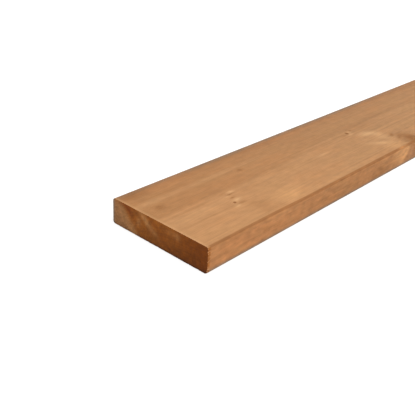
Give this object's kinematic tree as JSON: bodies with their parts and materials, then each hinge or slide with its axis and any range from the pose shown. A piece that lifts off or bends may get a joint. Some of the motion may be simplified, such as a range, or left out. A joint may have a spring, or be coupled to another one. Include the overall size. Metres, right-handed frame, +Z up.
{
  "type": "timber plank",
  "caption": "Straight planed softwood plank of rectangular section with rounded long edges and square-sawn ends, treated brown, for decking, beds, shelves and framing.",
  "frame": {"origin": "middle of the underside: half way along the length and across the width, on the face that the plank lies on", "axes": "+X along the length and the grain, +Y across the width, +Z up through the thickness"},
  "size_m": [1.8, 0.145, 0.032],
  "materials": {
    "treated_softwood": "planed, brown pressure treated"
  },
  "bodies": {
    "root": {"plank": "treated_softwood"}
  },
  "joints": []
}
